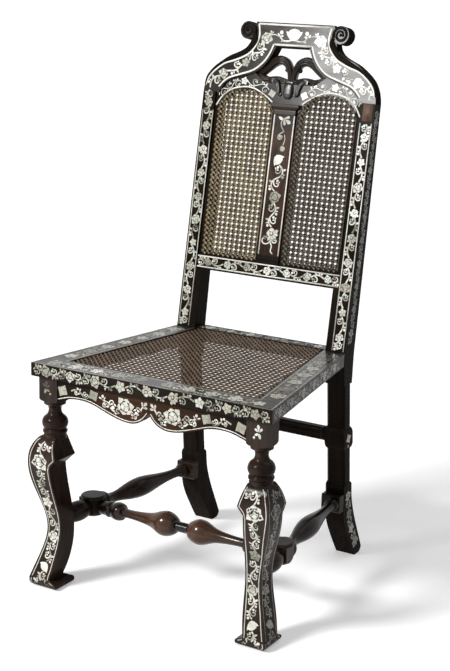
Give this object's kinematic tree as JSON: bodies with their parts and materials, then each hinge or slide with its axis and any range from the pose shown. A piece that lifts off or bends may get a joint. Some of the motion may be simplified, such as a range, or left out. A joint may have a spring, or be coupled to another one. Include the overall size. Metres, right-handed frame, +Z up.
{
  "type": "inlaid side chair",
  "caption": "High-back side chair with caned seat and back panels, yoke-shaped scrolled crest, pearl-inlaid frame, square cabriole front legs and turned stretchers.",
  "frame": {"origin": "on the floor, below the middle of the chair's outline", "axes": "+Z up, +X to the right of a viewer who faces the chair, -Y out of its front"},
  "size_m": [0.536, 0.5532, 1.0809],
  "materials": {
    "frame_wood": "dark polished",
    "turned_wood": "warm polished",
    "carved_wood": "dark carved",
    "peg_wood": "dark satin",
    "cane": "woven cane",
    "pearl": "polished shell"
  },
  "bodies": {
    "root": {"arched_back_rail": "frame_wood", "back_joint_pegs": "peg_wood", "back_seat_rail": "frame_wood", "back_splat": "frame_wood", "crest_carving": "carved_wood", "crest_rail": "frame_wood", "cross_stretcher": "turned_wood", "front_apron": "frame_wood", "front_seat_rail": "frame_wood", "left_back_cane": "cane", "left_back_post": "frame_wood", "left_front_leg": "frame_wood", "left_seat_rail": "frame_wood", "left_side_stretcher": "turned_wood", "lower_back_rail": "frame_wood", "rear_stretcher": "turned_wood", "right_back_cane": "cane", "right_back_post": "frame_wood", "right_front_leg": "frame_wood", "right_seat_rail": "frame_wood", "right_side_stretcher": "turned_wood", "seat_cane": "cane", "splat_capital": "carved_wood", "stretcher_joint_pegs": "peg_wood"}
  },
  "joints": []
}
